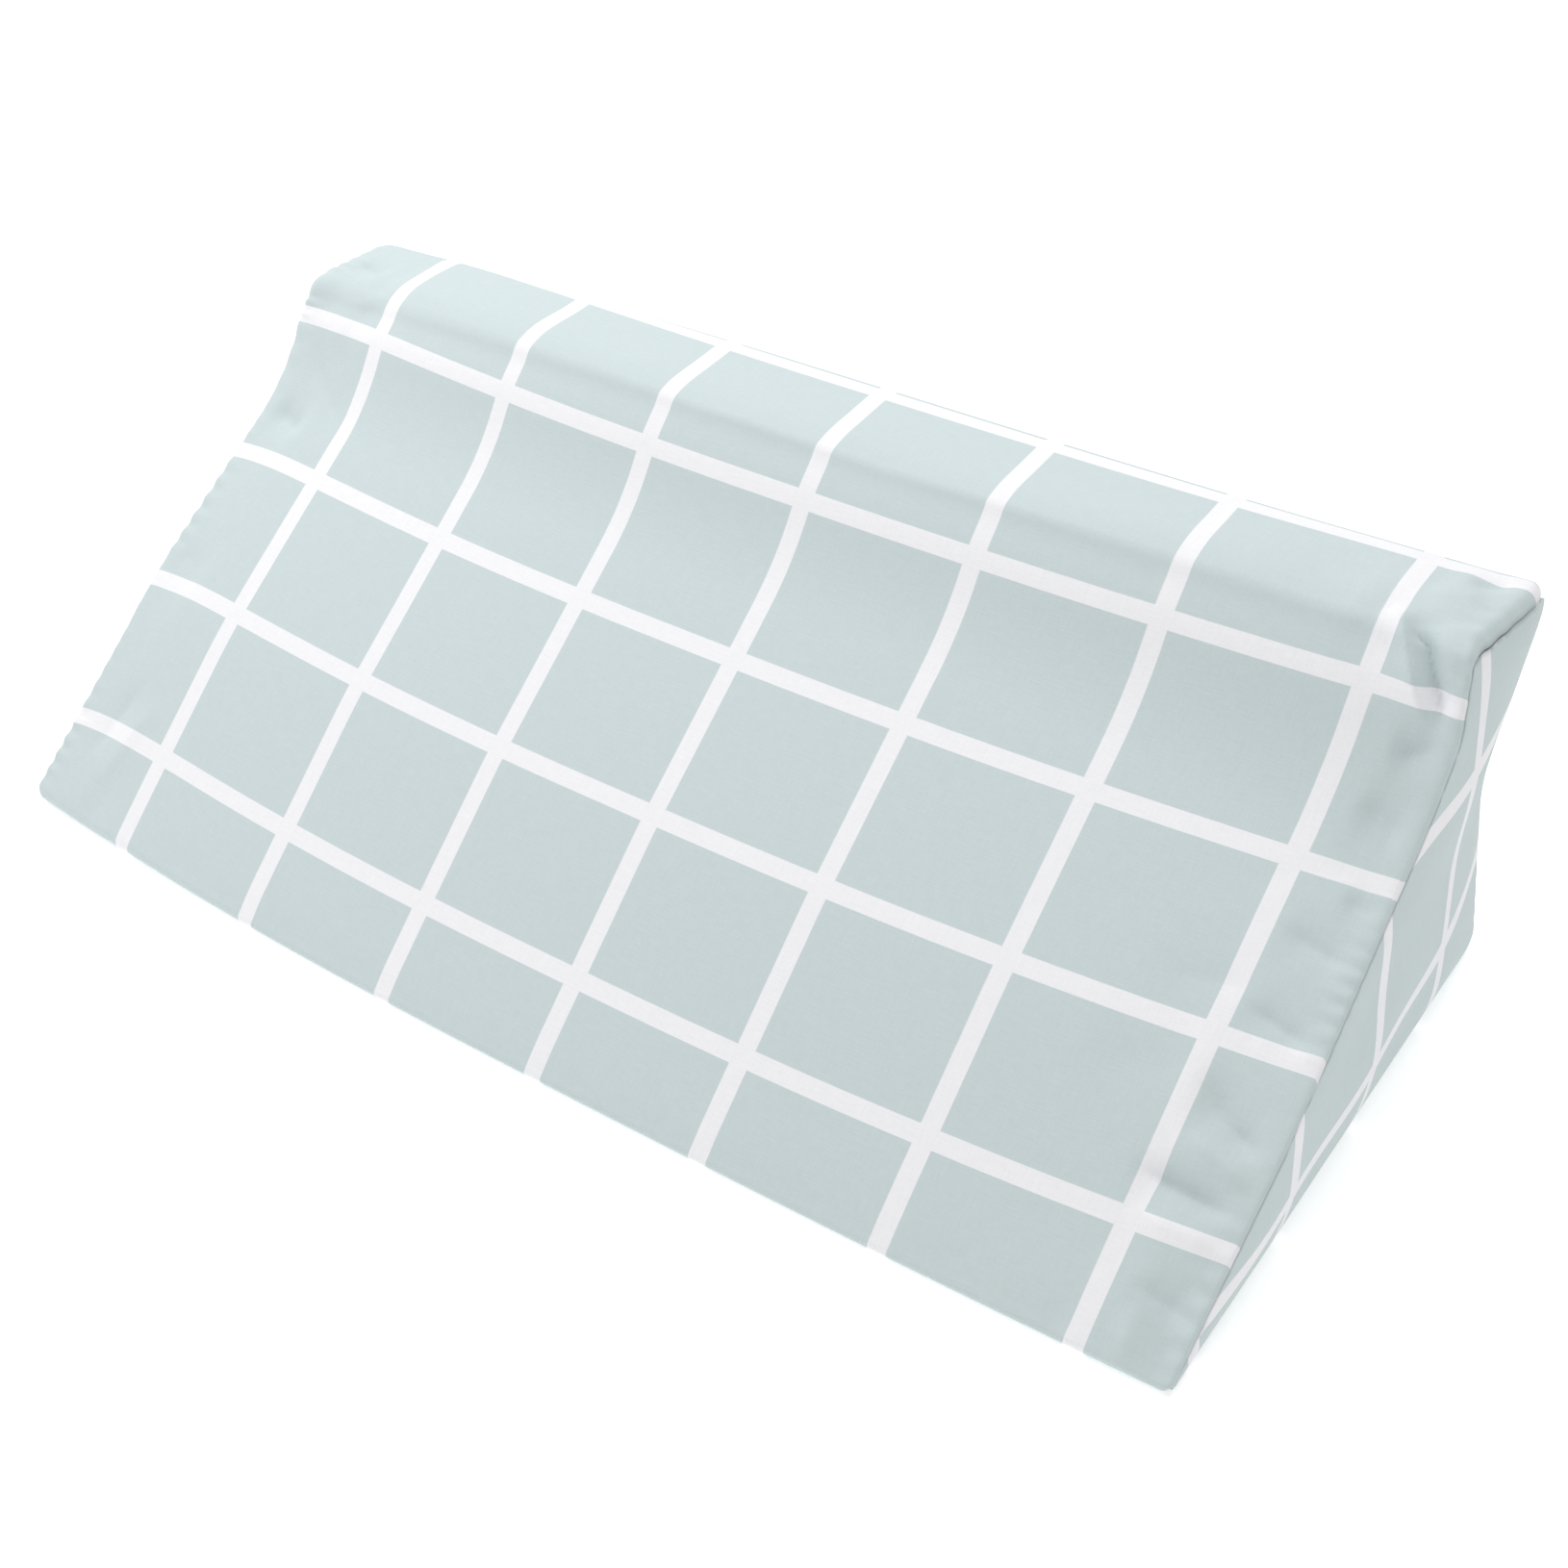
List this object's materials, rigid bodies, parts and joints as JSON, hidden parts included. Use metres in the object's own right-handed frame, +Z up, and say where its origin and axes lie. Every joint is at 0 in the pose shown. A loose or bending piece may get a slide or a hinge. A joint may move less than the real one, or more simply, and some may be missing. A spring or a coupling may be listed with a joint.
{
  "type": "wedge pillow",
  "caption": "Soft wedge pillow with a sloping front, a raised nose along the top, a flat base and sewn end panels, in a woven check cotton cover.",
  "frame": {"origin": "middle of the footprint, on the flat base", "axes": "+X along the pillow, to the right when seen from the slope; +Y from the front edge to the back; +Z up"},
  "size_m": [0.5104, 0.2558, 0.1744],
  "materials": {
    "cover_cotton": "matt plain-woven cotton, sage green with a white windowpane check",
    "end_cotton": "the same matt plain-woven check cotton, cut on a slant to the base"
  },
  "bodies": {
    "root": {"wedge_cushion": "cover_cotton", "end_panel_left": "end_cotton", "end_panel_right": "end_cotton"}
  },
  "joints": []
}
